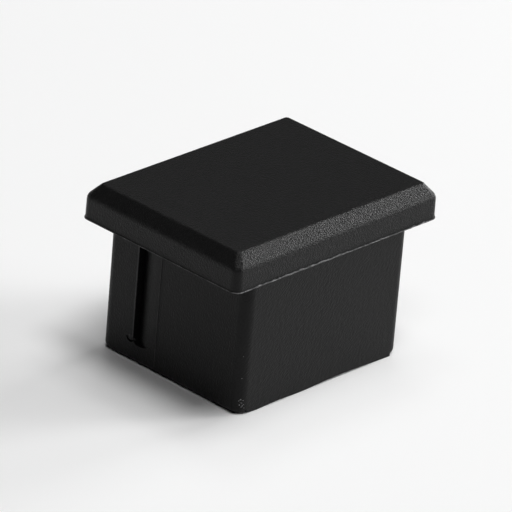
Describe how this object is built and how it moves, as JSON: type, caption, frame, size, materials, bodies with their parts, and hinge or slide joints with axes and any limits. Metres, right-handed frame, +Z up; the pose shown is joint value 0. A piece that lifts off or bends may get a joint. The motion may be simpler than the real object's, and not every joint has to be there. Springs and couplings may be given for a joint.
{
  "type": "tube end cap",
  "caption": "Push-in end cap for a rectangular tube: a bevelled head that overhangs a hollow insert with a groove down a short wall.",
  "frame": {"origin": "on the surface that the cap stands on, under the middle of its head", "axes": "+Z up through the head, +X along the head's long side, +Y along its short side; the groove is in the -X wall"},
  "size_m": [0.04, 0.03, 0.0257],
  "materials": {
    "body": "fine matt spark-eroded grain on the head, smoother on the insert"
  },
  "bodies": {
    "root": {"tube_end_cap": "body"}
  },
  "joints": []
}
